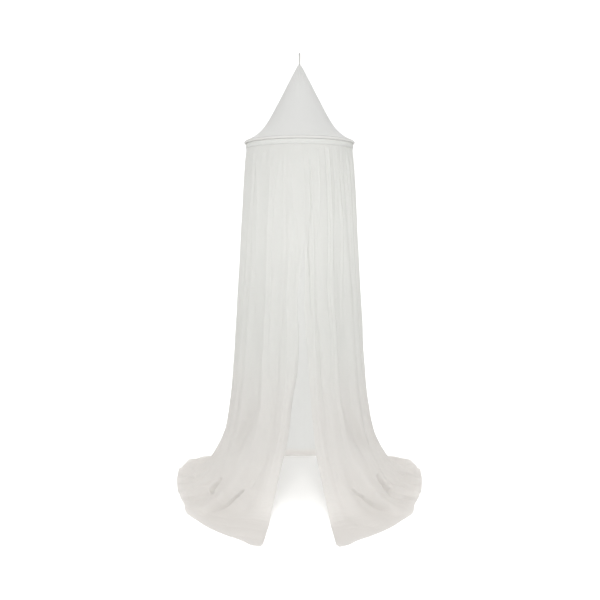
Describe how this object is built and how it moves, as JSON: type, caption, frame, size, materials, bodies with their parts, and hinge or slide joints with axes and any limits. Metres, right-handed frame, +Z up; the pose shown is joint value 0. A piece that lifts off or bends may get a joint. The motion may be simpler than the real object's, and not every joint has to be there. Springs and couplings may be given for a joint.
{
  "type": "mosquito net canopy with hoop",
  "caption": "Cotton bed canopy hung from its peak: cone roof on a covered hoop, and a long curtain that opens at the front and spreads over the floor.",
  "frame": {"origin": "the point inside the top of the hanging loop where a hook bears, straight above the middle of the hoop", "axes": "+Z up along the line the canopy hangs on, the opening in the curtain faces -Y, +X on the right of someone standing in front of it"},
  "size_m": [1.15, 1.1276, 1.9664],
  "materials": {
    "tape": "matt woven cotton tape",
    "roof_cotton": "thin matt plain-woven cotton, off-white",
    "covered_hoop": "hoop covered with stretched off-white cotton, greyer than the cloth around it",
    "casing_cotton": "doubled off-white cotton with a line of stitches",
    "curtain_cotton": "thin matt washed cotton, off-white, lightly crinkled, lets light through"
  },
  "bodies": {
    "root": {"hanging_loop": "tape", "roof": "roof_cotton", "hoop_front_right": "covered_hoop", "hoop_back_right": "covered_hoop", "hoop_back_left": "covered_hoop", "hoop_front_left": "covered_hoop", "casing": "casing_cotton", "curtain_left_front": "curtain_cotton", "curtain_left_back": "curtain_cotton", "curtain_right_front": "curtain_cotton", "curtain_right_back": "curtain_cotton"}
  },
  "joints": []
}
